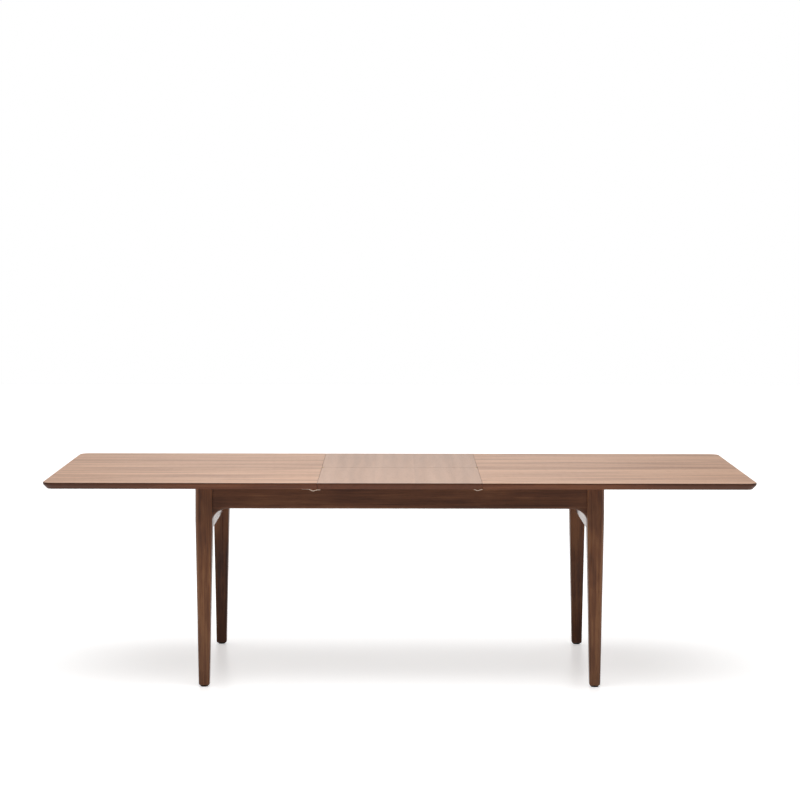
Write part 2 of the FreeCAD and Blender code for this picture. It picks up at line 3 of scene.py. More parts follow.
import bmesh
import bpy
import numpy as np
from bpy.props import FloatProperty, FloatVectorProperty, PointerProperty
from mathutils import Euler, Matrix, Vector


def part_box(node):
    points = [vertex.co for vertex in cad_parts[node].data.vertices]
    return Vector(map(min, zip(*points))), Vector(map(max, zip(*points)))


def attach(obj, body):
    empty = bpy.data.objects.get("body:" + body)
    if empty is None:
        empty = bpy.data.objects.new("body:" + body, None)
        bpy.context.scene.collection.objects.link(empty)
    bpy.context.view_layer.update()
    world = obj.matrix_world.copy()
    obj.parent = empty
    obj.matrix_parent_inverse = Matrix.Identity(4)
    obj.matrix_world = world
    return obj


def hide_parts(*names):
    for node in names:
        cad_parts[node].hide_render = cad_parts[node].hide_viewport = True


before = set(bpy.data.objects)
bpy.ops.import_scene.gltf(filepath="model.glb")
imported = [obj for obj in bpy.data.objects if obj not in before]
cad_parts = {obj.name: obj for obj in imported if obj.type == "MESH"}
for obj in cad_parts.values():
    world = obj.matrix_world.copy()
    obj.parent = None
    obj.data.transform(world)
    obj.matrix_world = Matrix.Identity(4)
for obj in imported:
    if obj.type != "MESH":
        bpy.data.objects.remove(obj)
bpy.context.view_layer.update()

bl_info = {
    "name": "Extending table",
    "version": (1, 0, 0),
    "blender": (4, 5, 0),
    "location": "3D View > Sidebar > Table",
    "description": "Builds the finished wood, fittings and studio of an extending table",
    "category": "Add Mesh",
}

MM = 0.001
ENDS = ("left", "right")
FACES = ("front", "back")
ARC_STEPS = 12
RUN_STEPS = 12
# Distance from a round to the extra line that keeps the flat beside it flat.
SUPPORT = 3 * MM
WELD = 0.001 * MM
CREASE = math.radians(32)
EASE_STEPS = 6
TAPER_STEPS = 8
BEND_STEPS = 6


def low_high(node):
    """Lowest and highest corner of a frame node as arrays, in metres."""
    low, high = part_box(node)
    return np.array(low), np.array(high)


def on_screen(red, green, blue):
    """Linear colour of a screen colour given from 0 to 255, by the standard screen curve."""
    share = np.array([red, green, blue]) / 255
    linear = np.where(share <= 0.04045, share / 12.92, ((share + 0.055) / 1.055) ** 2.4)
    return tuple(float(part) for part in linear)


def length(name, description, millimetres):
    """Property for a length, with its default in millimetres."""
    return FloatProperty(name=name, description=description, default=millimetres * MM, min=0.0,
                         precision=5, subtype="DISTANCE", unit="LENGTH")


def tint(name, description, *screen):
    """Property for a colour, with its default as a screen colour."""
    return FloatVectorProperty(name=name, description=description, default=on_screen(*screen),
                               size=3, min=0.0, max=1.0, subtype="COLOR")


def number(name, description, default, **kind):
    """Property for a number from nought up."""
    return FloatProperty(name=name, description=description, default=default, min=0.0, **kind)


def fraction(name, description, default):
    """Property for a share from nought to one."""
    return number(name, description, default, max=1.0, subtype="FACTOR")


class TableSizes(bpy.types.PropertyGroup):
    """Sizes of the shaped pieces"""

    corner_radius: length("Corner radius", "Outer corners of the tops, seen from above", 38)
    edge_bevel: length("Edge bevel", "Width and height of the slanted underside of the edge", 16)
    bevel_round: length("Bevel round", "Radius where the upright edge turns into the bevel", 9)
    top_arris: length("Top arris", "Radius of the upper edge of the tops", 1.5)
    seam_arris: length("Seam arris", "Radius of the upper edges along the seams", 0.5)
    under_arris: length("Under arris", "Radius where the bevel meets the underside", 1.2)
    split_chamfer: length("Split chamfer", "Chamfer along the folding line of the leaf", 2)
    leaf_undercut: length("Leaf undercut", "How much each end of the leaf leans in", 1.2)
    hinge_wall_inset: length("Hinge room depth", "Depth of a hinge's room in the leaf's end", 4.85)
    hinge_room_reach: length("Hinge room reach", "Length of the room for a hinge plate", 70)
    hinge_room_bottom: length("Hinge room bottom", "Depth of its lower face below the top", 12.7)
    hinge_room_top: length("Hinge room top", "Depth of its upper face below the top", 2.3)
    hinge_notch_reach: length("Hinge notch", "Length of the notch over a hinge eye", 14.8)
    leg_foot_width: length("Foot width", "Width of a leg just above its foot chamfer", 40)
    leg_block_height: length("Leg block", "Height of the untapered upper end of a leg", 116)
    leg_outer_radius: length("Leg outer radius", "Outer corner of a leg at the block", 26)
    foot_outer_radius: length("Foot outer radius", "Outer corner of a leg at the foot", 15)
    leg_edge_radius: length("Leg edge radius", "Other three corners of a leg", 5)
    foot_chamfer: length("Foot chamfer", "Chamfer around the sole of a leg", 2.5)
    rail_depth: length("Rail depth", "Depth of the long rails between their ears", 78)
    rail_round: length("Rail round", "Lower outer edge of the long rails", 9)
    ear_radius: length("Ear radius", "Hollow curve where a long rail drops to a leg", 60)
    end_rail_round: length("End rail round", "Lower outer edge of the end rails", 4)
    rail_arris: length("Rail arris", "Other long edges of the rails", 1.2)
    glide_round: length("Glide round", "Edges of a glide", 1)
    clip_roll: length("Clip roll", "Thickness of the rolled edges of the seam clips", 3.6)
    clip_bend_radius: length("Clip bend radius", "Radius of the bends of a clip", 2.5)


class TableFinishes(bpy.types.PropertyGroup):
    """Colours of the woods, metals, plastics and floor"""

    top_dark: tint("Top, dark grain", "Dark grain of the top veneer", 156, 115, 88)
    top_middle: tint("Top, ground", "Ground colour of the top veneer", 182, 140, 111)
    top_light: tint("Top, light grain", "Light grain of the top veneer", 198, 155, 125)
    leaf_dark: tint("Leaf, dark grain", "Dark grain of the leaf veneer", 166, 132, 110)
    leaf_middle: tint("Leaf, ground", "Ground colour of the leaf veneer", 175, 141, 119)
    leaf_light: tint("Leaf, light grain", "Light grain of the leaf veneer", 183, 149, 127)
    edge_dark: tint("Edge, dark grain", "Dark grain of the solid edges of the tops", 90, 47, 27)
    edge_middle: tint("Edge, ground", "Ground colour of the solid edges of the tops", 124, 70, 43)
    edge_light: tint("Edge, light grain", "Light grain of the solid edges of the tops", 148, 90, 58)
    leg_dark: tint("Leg, dark grain", "Dark grain of the legs", 88, 49, 31)
    leg_middle: tint("Leg, ground", "Ground colour of the legs", 132, 82, 51)
    leg_light: tint("Leg, light grain", "Light grain of the legs", 166, 112, 73)
    rail_dark: tint("Rail, dark grain", "Dark grain of the rails", 86, 48, 30)
    rail_middle: tint("Rail, ground", "Ground colour of the rails", 119, 74, 48)
    rail_light: tint("Rail, light grain", "Light grain of the rails", 148, 98, 65)
    beech_dark: tint("Runner wood, dark", "Dark grain of the runners and bearers", 176, 134, 96)
    beech_light: tint("Runner wood, light", "Light grain of the runners and bearers", 214, 178, 139)
    steel: tint("Steel", "Plated bolts, screws, bars and brackets", 172, 174, 176)
    clip_metal: tint("Clips", "Pale sprung metal of the seam clips", 255, 238, 220)
    brass: tint("Brass", "Hinge plates and links", 190, 156, 92)
    glide: tint("Glides", "Moulded pads under the feet", 14, 11, 10)
    strip: tint("Strips", "Slide strips on the rails", 222, 218, 208)
    floor: tint("Floor", "Studio floor", 236, 236, 236)
    mirrored_floor: tint("Mirrored floor", "Glow of the floor in reflections", 255, 243, 235)


class StudioSettings(bpy.types.PropertyGroup):
    """Camera, lights and surroundings"""

    focal_length: number("Focal length", "Camera focal length on a 36 mm sensor", 97.43,
                         unit="CAMERA")
    eye: FloatVectorProperty(name="Eye", description="Camera position", size=3, precision=5,
                             default=(-0.01575, -8.33051, 1.71626), subtype="TRANSLATION",
                             unit="LENGTH")
    aim: FloatVectorProperty(name="Aim", description="Camera tilt down, roll and turn", size=3,
                             default=tuple(np.radians((1.302, 0.0964, -0.1082)).tolist()),
                             precision=5, subtype="EULER", unit="ROTATION")
    frame_shift: FloatProperty(name="Frame shift", description="Upright camera shift, in frames",
                               default=-0.1641, precision=4)
    overhead: number("Overhead light", "Strength of the soft light above the table", 1.8)
    pool: number("Light pool", "Power of the lamp over the near side of the table", 15.0,
                 unit="POWER")
    overhead_spread: FloatProperty(name="Overhead spread", description="Angle of the light above",
                                   default=math.radians(60), subtype="ANGLE", unit="ROTATION")
    overhead_lean: FloatProperty(name="Overhead lean", description="Lean of the light to the front",
                                 default=math.radians(8), subtype="ANGLE", unit="ROTATION")
    ambient: fraction("Ambient", "Level of the light from all round", 0.5)
    front_level: fraction("Front level", "Brightness behind the camera next to the back", 0.16)
    left_level: fraction("Left level", "Mirrored brightness past the backdrop's left edge", 0.55)
    right_level: fraction("Right level", "Mirrored brightness past the backdrop's right edge", 0.45)
    floor_bounce: fraction("Floor bounce", "How much of its colour the floor throws back", 0.72)
    floor_mirror: fraction("Floor in reflections", "Glow of the floor in reflections", 0.34)
    floor_glow: fraction("Floor glow", "Glow of the floor that the camera sees", 0.49)


class Value:
    """A socket of a node tree. Arithmetic on it adds Math nodes."""

    def __init__(self, tree, socket):
        self.tree = tree
        self.socket = socket

    def __add__(self, other):
        return self.tree.maths("ADD", self, other)

    def __sub__(self, other):
        return self.tree.maths("SUBTRACT", self, other)

    def __mul__(self, other):
        return self.tree.maths("MULTIPLY", self, other)

    def __radd__(self, other):
        return self.tree.maths("ADD", other, self)

    def __rsub__(self, other):
        return self.tree.maths("SUBTRACT", other, self)

    def __rmul__(self, other):
        return self.tree.maths("MULTIPLY", other, self)


class Tree:
    """The node tree of a material or of the world."""

    def __init__(self, owner):
        owner.use_nodes = True
        self.nodes = owner.node_tree.nodes
        self.links = owner.node_tree.links
        self.nodes.clear()

    def add(self, kind, settings=(), sockets=(), output=0):
        """Add a node, set its settings, then its sockets, and return one of its outputs."""
        node = self.nodes.new("ShaderNode" + kind)
        for name, setting in dict(settings).items():
            setattr(node, name, setting)
        for name, value in dict(sockets).items():
            if isinstance(value, Value):
                self.links.new(value.socket, node.inputs[name])
            else:
                node.inputs[name].default_value = value
        return Value(self, node.outputs[output]) if node.outputs else None

    def maths(self, operation, *values):
        """A Math node on numbers and sockets."""
        return self.add("Math", {"operation": operation}, enumerate(values))

    def mix(self, share, first, second):
        """Colour between two colours, by the colour sockets of a Mix node."""
        return self.add("Mix", {"data_type": "RGBA"}, {0: share, 6: first, 7: second}, 2)

    def step(self, value, low, high, start=0.0, stop=1.0):
        """Smooth step from start to stop as a value goes from low to high."""
        return self.add("MapRange", {"interpolation_type": "SMOOTHSTEP"},
                        {0: value, 1: low, 2: high, 3: start, 4: stop})

    def scaled(self, vector, *factors):
        """Vector multiplied part by part."""
        return self.add("VectorMath", {"operation": "MULTIPLY"}, {0: vector, 1: factors})

    def coordinates(self, kind="Object"):
        """Place on the surface, or its normal, or a direction in the world."""
        return self.add("TexCoord", output=kind)

    def part(self, vector, axis):
        """Part of a vector along one axis."""
        return self.add("SeparateXYZ", {}, {0: vector}, axis)

    def noise(self, vector, scale, detail=2.0, roughness=0.5):
        """Cloudy noise at a scale per metre."""
        return self.add("TexNoise", {}, {"Vector": vector, "Scale": scale, "Detail": detail,
                                         "Roughness": roughness})

    def drawn_out(self, vector, scales, detail=2.0, roughness=0.5):
        """Noise drawn out along X, at one scale per metre along X and another across it."""
        along, across = scales
        return self.noise(self.scaled(vector, along, across, across), 1.0, detail, roughness)


BLACK = (0.0, 0.0, 0.0)
WHITE = (1.0, 1.0, 1.0)
BUMP_DEPTH = 0.2 * MM


def new_material(name):
    """A material and its empty node tree."""
    material = bpy.data.materials.new(name)
    return material, Tree(material)


def opaque(colour, level=1.0):
    """Colour with full alpha, brought to a level."""
    return (*[level * part for part in colour], 1.0)


def surface(tree, colour, roughness, height, bump, constants=()):
    """Principled surface with a bump. Constant values go straight to its own sockets."""
    normal = tree.add("Bump", {}, {"Strength": bump, "Distance": BUMP_DEPTH, "Height": height})
    sockets = {"Base Color": colour, "Roughness": roughness, "Normal": normal, **dict(constants)}
    tree.add("OutputMaterial", {}, {"Surface": tree.add("BsdfPrincipled", {}, sockets)})


GRAIN_TURNS = {"X": (0, 0, 0), "Y": (0, 0, -math.pi / 2), "Z": (0, math.pi / 2, 0)}
# Start of the first veneer strip as a share of its width, and the longest slide of a strip along
# and across the grain.
STRIP_START = 0.37
STRIP_SLIDE = (7.0, 0.9)
EVEN_CHANCE = 0.5
DARK_TO_GROUND = (0.26, 0.52)
GROUND_TO_LIGHT = (0.48, 0.74)


def grain_space(tree, grain, shift=(0, 0, 0), strip_width=0.0):
    """Object coordinates turned so that the grain runs along X, and shifted to another log.

    With a strip width, each veneer strip is slid along the grain by its own chance amount.
    """
    turned = tree.add("Mapping", {}, {"Vector": tree.coordinates(), "Location": shift,
                                      "Rotation": GRAIN_TURNS[grain]})
    if not strip_width:
        return turned, EVEN_CHANCE
    strip = tree.maths("FLOOR", tree.part(turned, "Y") * (1 / strip_width) + STRIP_START)
    chance = tree.add("TexWhiteNoise", {"noise_dimensions": "1D"}, {"W": strip + shift[2]})
    slide = tree.add("CombineXYZ", {}, {0: chance * STRIP_SLIDE[0], 1: chance * STRIP_SLIDE[1]})
    return tree.add("VectorMath", {"operation": "ADD"}, {0: turned, 1: slide}), chance


def grain_colour(tree, tone, wood_tones):
    """Colour that goes from dark through the ground to light as the tone rises."""
    dark, middle, light = [opaque(colour) for colour in wood_tones]
    ground = tree.mix(tree.step(tone, *DARK_TO_GROUND), dark, middle)
    return tree.mix(tree.step(tone, *GROUND_TO_LIGHT), ground, light)


# Scales of the walnut grain per metre, along and across it.
BANDS = (0.7, 11.0)
STREAKS = (2.4, 48.0)
HAIRS = (9.0, 420.0)
PORES = (30.0, 900.0)
FIGURE = (0.3, 7.0)
# Weights of bands, streaks, hairs, figure and strip in the tone, and the tone that they add up to.
TONE_WEIGHTS = (1.1, 0.95, 0.45, 0.22, 0.2)
TONE_MIDDLE = 1.46
# Weights of bands and hairs in calm end grain.
END_GRAIN_WEIGHTS = (0.3, 0.7)
PORE_EDGE = (0.60, 0.72)
PORE_DARKNESS = 0.4
PORE_DEPTH = 1.2
STREAK_ROUGHNESS = 0.1
PORE_ROUGHNESS = 0.12
WOOD_BUMP = 0.12
WOOD_IOR = 1.4
# Level of the darkened colour next to the dark grain, for pores, flecks and painted shade, and
# depths under a face where the veneer ends and where the painted shade line under the arris ends.
MARKS_AND_SHADE_LEVEL = 0.5
VENEER_END = (0.05 * MM, 0.35 * MM)
SHADE_LINE = (3.0 * MM, 5.0 * MM)
SHADE_LINE_DARKNESS = 0.85
# Distances from the table's middle between which the edges darken with painted shade.
END_REACH = (0.65, 1.15)
END_SHADE_DARKNESS = 0.55
# Height up to which the painted shade at a leg's foot reaches.
FOOT_REACH = 0.42
# Place times facing along X, from faces that look inwards to those that don't.
INWARDS = (-0.6, -0.3)


def inner_side(tree):
    """One on faces that look towards the table's middle along X, and nought on the others."""
    place = tree.part(tree.coordinates(), "X")
    facing = tree.part(tree.coordinates("Normal"), "X")
    return tree.step(place * facing, *INWARDS, 1.0, 0.0)


def veneered(tree, edge, veneer, marks_and_shade, faces):
    """Colour of a board with a veneer on its lower and upper face, at given heights.

    Painted shade darkens the edge in a line under the upper face and towards the table's ends.
    """
    height = tree.part(tree.coordinates(), "Z")
    reach = tree.maths("ABSOLUTE", tree.part(tree.coordinates(), "X"))
    thin, thick = VENEER_END
    above = tree.step(height, faces[1] - thick, faces[1] - thin)
    below = tree.step(height, faces[0] + thin, faces[0] + thick, 1.0, 0.0)
    # Painted shade: a dark line along the edge just under the upper face.
    line = tree.step(height, faces[1] - SHADE_LINE[1], faces[1] - SHADE_LINE[0])
    # Painted shade: the edges darken towards the table's ends.
    edge = tree.mix(END_SHADE_DARKNESS * tree.step(reach, *END_REACH), edge, marks_and_shade)
    edge = tree.mix(SHADE_LINE_DARKNESS * line, edge, marks_and_shade)
    return tree.mix(above + below, edge, veneer)


def walnut(name, grain, wood_tones, sheen, fineness=1.0, contrast=1.0, shift=(0, 0, 0),
           strip_width=0.0, face_tones=(), faces=(0, 0), inner_polish=0.0, foot_shade=0.0):
    """Oiled walnut: broad bands, streaks, hairs and a wavy figure along the grain, with open pores.

    With face tones, a veneer of those tones covers a lower and an upper face at given heights,
    boards whose grain ends at the edge show calm end grain there, and painted shade darkens the
    edge under the upper face and towards the table's ends. An inner polish smooths the faces that
    look to the table's middle, and a foot shade paints shade on the wood towards the floor.
    """
    material, tree = new_material(name)
    space, chance = grain_space(tree, grain, shift, strip_width)
    marks_and_shade = opaque(wood_tones[0], MARKS_AND_SHADE_LEVEL)
    bands = tree.drawn_out(space, (BANDS[0], BANDS[1] * fineness), roughness=0.55)
    streaks = tree.drawn_out(space, (STREAKS[0], STREAKS[1] * fineness), detail=3.0, roughness=0.6)
    hairs = tree.drawn_out(space, HAIRS, roughness=0.6)
    figure = tree.add("TexWave", {"bands_direction": "Y", "wave_profile": "SIN"},
                      {"Vector": tree.scaled(space, FIGURE[0], 1.0, 1.0),
                       "Scale": FIGURE[1] * fineness, "Distortion": 6.0, "Detail": 2.0,
                       "Detail Scale": 1.1}, "Fac")
    pores = tree.step(tree.drawn_out(space, PORES, detail=1.0), *PORE_EDGE)
    layers = (bands, streaks, hairs, figure, chance)
    total = sum(weight * layer for weight, layer in zip(TONE_WEIGHTS, layers))
    tone = 0.5 + contrast * (total - TONE_MIDDLE)
    if face_tones:
        edge_tone = tone
        if grain == "Y":
            edge_tone = END_GRAIN_WEIGHTS[0] * bands + END_GRAIN_WEIGHTS[1] * hairs
        edge = grain_colour(tree, edge_tone, wood_tones)
        colour = veneered(tree, edge, grain_colour(tree, tone, face_tones), marks_and_shade, faces)
    else:
        colour = grain_colour(tree, tone, wood_tones)
    # Painted shade: the legs darken towards the floor.
    if foot_shade:
        height = tree.part(tree.coordinates(), "Z")
        colour = tree.mix(tree.step(height, 0.0, FOOT_REACH, foot_shade, 0.0), colour, marks_and_shade)
    colour = tree.mix(PORE_DARKNESS * pores, colour, marks_and_shade)
    roughness = sheen + STREAK_ROUGHNESS * (streaks - 0.5) + PORE_ROUGHNESS * pores
    if inner_polish:
        roughness = roughness - inner_polish * inner_side(tree)
    surface(tree, colour, roughness, hairs - PORE_DEPTH * pores, WOOD_BUMP, {"IOR": WOOD_IOR})
    return material


BEECH_STREAKS = (2.0, 60.0)
BEECH_FLECKS = (90.0, 800.0)
FLECK_EDGE = (0.66, 0.74)
FLECK_DARKNESS = 0.5
FLECK_DEPTH = 0.5
BEECH_SHEEN = 0.5
BEECH_ROUGHNESS = 0.12
BEECH_BUMP = 0.1


def beech(name, grain, finishes):
    """Pale runner wood: faint streaks and short brown flecks along the grain."""
    material, tree = new_material(name)
    space = grain_space(tree, grain)[0]
    streaks = tree.drawn_out(space, BEECH_STREAKS, detail=3.0, roughness=0.6)
    flecks = tree.step(tree.drawn_out(space, BEECH_FLECKS, detail=0.0), *FLECK_EDGE)
    ground = tree.mix(streaks, opaque(finishes.beech_dark), opaque(finishes.beech_light))
    colour = tree.mix(FLECK_DARKNESS * flecks, ground, opaque(finishes.beech_dark, MARKS_AND_SHADE_LEVEL))
    roughness = BEECH_SHEEN + BEECH_ROUGHNESS * (streaks - 0.5)
    surface(tree, colour, roughness, streaks - FLECK_DEPTH * flecks, BEECH_BUMP)
    return material


CLOUD_SCALE = 60.0
DRAWN_ALONG = 40.0
# Shares of clouds and drawn grain in the shade of a metal.
SHADE_WEIGHTS = (0.6, 0.4)
CLOUD_EDGE = (0.3, 0.7)
CLOUDED_LEVEL = 0.72
CLOUD_ROUGHNESS = 0.16
METAL_BUMP = 0.08


def metal(name, tone, roughness, drawn_scale):
    """Plated or drawn metal: clouded colour and roughness with a fine drawn grain."""
    material, tree = new_material(name)
    place = tree.coordinates()
    clouds = tree.noise(place, CLOUD_SCALE, detail=3.0, roughness=0.6)
    drawn = tree.drawn_out(place, (DRAWN_ALONG, drawn_scale))
    shade = tree.step(SHADE_WEIGHTS[0] * clouds + SHADE_WEIGHTS[1] * drawn, *CLOUD_EDGE)
    colour = tree.mix(shade, opaque(tone, CLOUDED_LEVEL), opaque(tone))
    roughness = roughness + CLOUD_ROUGHNESS * (clouds - 0.5)
    surface(tree, colour, roughness, drawn, METAL_BUMP, {"Metallic": 1.0})
    return material


STIPPLE_SCALE = 2600.0
DUST_SCALE = 90.0
DUST_COVER = 0.3
DUSTY_LEVEL = 0.75
DUSTY_LIFT = 0.04
DUST_ROUGHNESS = 0.2
PLASTIC_BUMP = 0.15
PLASTIC_IOR = 1.25


def moulded(name, tone, roughness):
    """Moulded plastic: a fine stipple and slightly dusty patches."""
    material, tree = new_material(name)
    place = tree.coordinates()
    stipple = tree.noise(place, STIPPLE_SCALE, detail=1.0)
    dust = tree.noise(place, DUST_SCALE, detail=3.0, roughness=0.6)
    dusty = [DUSTY_LEVEL * part + DUSTY_LIFT for part in tone]
    colour = tree.mix(DUST_COVER * dust, opaque(tone), opaque(dusty))
    roughness = roughness + DUST_ROUGHNESS * (dust - 0.5)
    surface(tree, colour, roughness, stipple, PLASTIC_BUMP, {"IOR": PLASTIC_IOR})
    return material


def arc(centre, radius, start, stop, count=ARC_STEPS):
    """Points of a circle about a centre, from one angle to another in degrees."""
    turns = np.radians(np.linspace(start, stop, count + 1))
    return np.stack([centre[0] + radius * np.cos(turns), centre[1] + radius * np.sin(turns)], -1)


class Shell:
    """Collects grids and flat ends, and welds them into one closed mesh."""

    def __init__(self):
        self.points = []
        self.faces = []
        self.count = 0

    def keep(self, points):
        """Add points and return the number of the first."""
        start = self.count
        self.points.append(np.asarray(points, dtype=float).reshape(-1, 3))
        self.count += len(self.points[-1])
        return start

    def grid(self, points, wrapped=False):
        """Quads of a grid of rows and columns, joined across its last column when wrapped."""
        rows, columns = points.shape[:2]
        row = columns * np.arange(rows - 1)[:, None]
        column = np.arange(columns if wrapped else columns - 1)[None, :]
        beside = (column + 1) % columns
        corners = [row + column, row + beside, row + columns + beside, row + columns + column]
        self.faces += (np.stack(corners, -1).reshape(-1, 4) + self.keep(points)).tolist()

    def flat(self, loop):
        """A flat end bounded by a loop of points."""
        start = self.keep(loop)
        self.faces.append(list(range(start, self.count)))

    def between(self, first, second):
        """Ruled surface between two lines of as many points, with a third line midway."""
        self.grid(np.stack([first, (first + second) / 2, second], 1))

    def tube(self, loops):
        """Closed loops carried along a path, with flat ends."""
        self.grid(loops, True)
        self.flat(loops[0])
        self.flat(loops[-1])

    def mesh(self, name):
        """Welded mesh with outward faces, smooth but for its creases."""
        mesh = bpy.data.meshes.new(name)
        mesh.from_pydata(np.concatenate(self.points).tolist(), [], self.faces)
        shape = bmesh.new()
        shape.from_mesh(mesh)
        bmesh.ops.remove_doubles(shape, verts=shape.verts, dist=WELD)
        bmesh.ops.dissolve_degenerate(shape, edges=shape.edges, dist=WELD)
        bmesh.ops.recalc_face_normals(shape, faces=shape.faces)
        shape.to_mesh(mesh)
        shape.free()
        mesh.shade_smooth()
        mesh.set_sharp_from_angle(angle=CREASE)
        return mesh


def put_piece(shell, name, material, body, slot, *nodes):
    """Make a piece of the shell, riding on a body in place of frame nodes."""
    if name in bpy.data.objects:
        raise RuntimeError(f"{name} has been built already")
    mesh = shell.mesh(name)
    mesh.materials.append(material)
    piece = bpy.data.objects.new(name, mesh)
    bpy.context.scene.collection.objects.link(piece)
    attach(piece, body)
    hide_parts(*nodes)


def dress(material, *nodes):
    """Give frame nodes a finish."""
    for node in nodes:
        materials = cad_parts[node].data.materials
        materials.clear()
        materials.append(material)


def edge_profile(sizes, low, high):
    """Section of a top's edge from above to below, as distance in from the outline and height.

    A quarter circle rounds the upper arris, an eighth of a circle turns the upright edge into
    the bevel at 45 degrees, and another eases the bevel into the underside.
    """
    arris, bevel, turn, ease = (sizes.top_arris, sizes.edge_bevel, sizes.bevel_round,
                                sizes.under_arris)
    share = math.tan(math.pi / 8)
    foot = bevel + ease * share
    return np.concatenate([
        [(arris + SUPPORT, high)],
        arc((arris, high - arris), arris, 90, 180),
        arc((turn, low + bevel + turn * share), turn, 180, 225),
        arc((foot, low + ease), ease, 225, 270),
        [(foot + SUPPORT, low)],
    ])


def eased_steps(ease):
    """Distances from an end over which its upper edge is eased, and a little beyond."""
    turns = np.linspace(0, math.pi / 2, EASE_STEPS + 1)
    return np.append(ease * (1 - np.cos(turns)), ease + SUPPORT)


def eased_height(height, high, distance, ease):
    """Height lowered along a quarter circle within the eased distance of an end."""
    inside = np.clip(ease - distance, 0, ease)
    return np.minimum(height, high - ease + np.sqrt(ease ** 2 - inside ** 2))


def top_shell(sizes, node, side):
    """End top: the edge profile carried round the three outer edges.

    The path runs from the seam along the front, round two corner arcs and back to the seam. The
    flat faces are ruled between points that mirror each other across the table's middle line.
    """
    low, high = low_high(node)
    seam_x, outer_x = sorted(np.abs([low[0], high[0]]))
    outer_y = high[1]
    radius = sizes.corner_radius
    near = seam_x + eased_steps(sizes.seam_arris)
    run = np.append(near, np.linspace(near[-1], outer_x - radius, RUN_STEPS)[1:])
    corner = arc((outer_x - radius, radius - outer_y), radius, -90, 0)[1:]
    end = np.linspace(radius - outer_y, 0, RUN_STEPS // 2, endpoint=False)[1:]
    path = np.concatenate([np.stack([run, np.full_like(run, -outer_y)], -1), corner,
                           np.stack([np.full_like(end, outer_x), end], -1)])
    turns = np.radians(np.concatenate([np.full(len(run), -90.0),
                                       np.linspace(-90, 0, ARC_STEPS + 1)[1:],
                                       np.zeros(len(end))]))[:, None]
    inset, height = edge_profile(sizes, low[2], high[2]).T
    x = path[:, :1] - np.cos(turns) * inset
    y = path[:, 1:] - np.sin(turns) * inset
    z = eased_height(height, high[2], path[:, :1] - seam_x, sizes.seam_arris)
    front = np.stack([side * x, y, z], -1)
    back = front * (1, -1, 1)
    shell = Shell()
    shell.grid(np.concatenate([front, back[::-1]]))
    shell.between(front[:, 0], back[:, 0])
    shell.between(front[:, -1], back[:, -1])
    shell.between(front[0], back[0])
    return shell


def leaf_shell(sizes, node, face):
    """Half of the leaf: a section in Y and Z carried along X, with rooms for the hinges.

    The ends lean in towards the underside. Near each end the section goes round the room for a
    hinge, and a wall closes the difference from the full section.
    """
    low, high = low_high(node)
    split_y, outer_y = sorted(np.abs([low[1], high[1]]))
    bottom, top, end_x = low[2], high[2], high[0]
    floor_z, roof_z = top - sizes.hinge_room_bottom, top - sizes.hinge_room_top
    room_y, notch_y = split_y + sizes.hinge_room_reach, split_y + sizes.hinge_notch_reach
    chamfer = sizes.split_chamfer
    edge = edge_profile(sizes, bottom, top)[::-1] * (-1, 1) + (outer_y, 0)
    outside = np.concatenate([[(split_y, bottom)], edge, [(notch_y, top)]])
    room = np.array([(notch_y, roof_z), (room_y, roof_z), (room_y, floor_z), (split_y, floor_z)])
    mouth = np.array([(split_y + chamfer, top), (split_y, top - chamfer), (split_y, floor_z)])
    wall_x = end_x - sizes.hinge_wall_inset

    def placed(section, x, z):
        return np.stack(np.broadcast_arrays(x, face * section[:, 0], z), -1)

    shell = Shell()
    full = np.concatenate([outside, mouth])
    shell.grid(placed(full, np.linspace(-wall_x, wall_x, RUN_STEPS)[:, None], full[:, 1]), True)
    slotted = np.concatenate([outside, room])
    wall = np.concatenate([[(notch_y, top)], room, mouth[1::-1]])
    distance = np.append(eased_steps(sizes.seam_arris), sizes.hinge_wall_inset)[:, None]
    z = eased_height(slotted[:, 1], top, distance, sizes.seam_arris)
    lean = sizes.leaf_undercut * (top - z) / (top - bottom)
    x = wall_x + (sizes.hinge_wall_inset - lean) * (1 - distance / sizes.hinge_wall_inset)
    for side in (-1, 1):
        loops = placed(slotted, side * x, z)
        shell.grid(loops, True)
        shell.flat(loops[0])
        shell.flat(placed(wall, side * wall_x, wall[:, 1]))
    return shell


def rounded_square(centre, half, radii):
    """Loop of a square whose four corners have their own radii, from the right back corner on.

    Each corner is a quarter circle with a point beyond both ends, on the straight sides.
    """
    turns = np.radians(np.linspace(0, 90, ARC_STEPS + 1))
    circle = np.stack([np.cos(turns), np.sin(turns)], -1)
    loop = []
    for quarter, radius in enumerate(radii):
        points = radius * circle + half - radius
        points = np.concatenate([[points[0] - (0, SUPPORT)], points, [points[-1] - (SUPPORT, 0)]])
        turn = math.pi / 2 * quarter
        spin = np.array([[math.cos(turn), math.sin(turn)], [-math.sin(turn), math.cos(turn)]])
        loop.append(points @ spin)
    return np.concatenate(loop) + centre


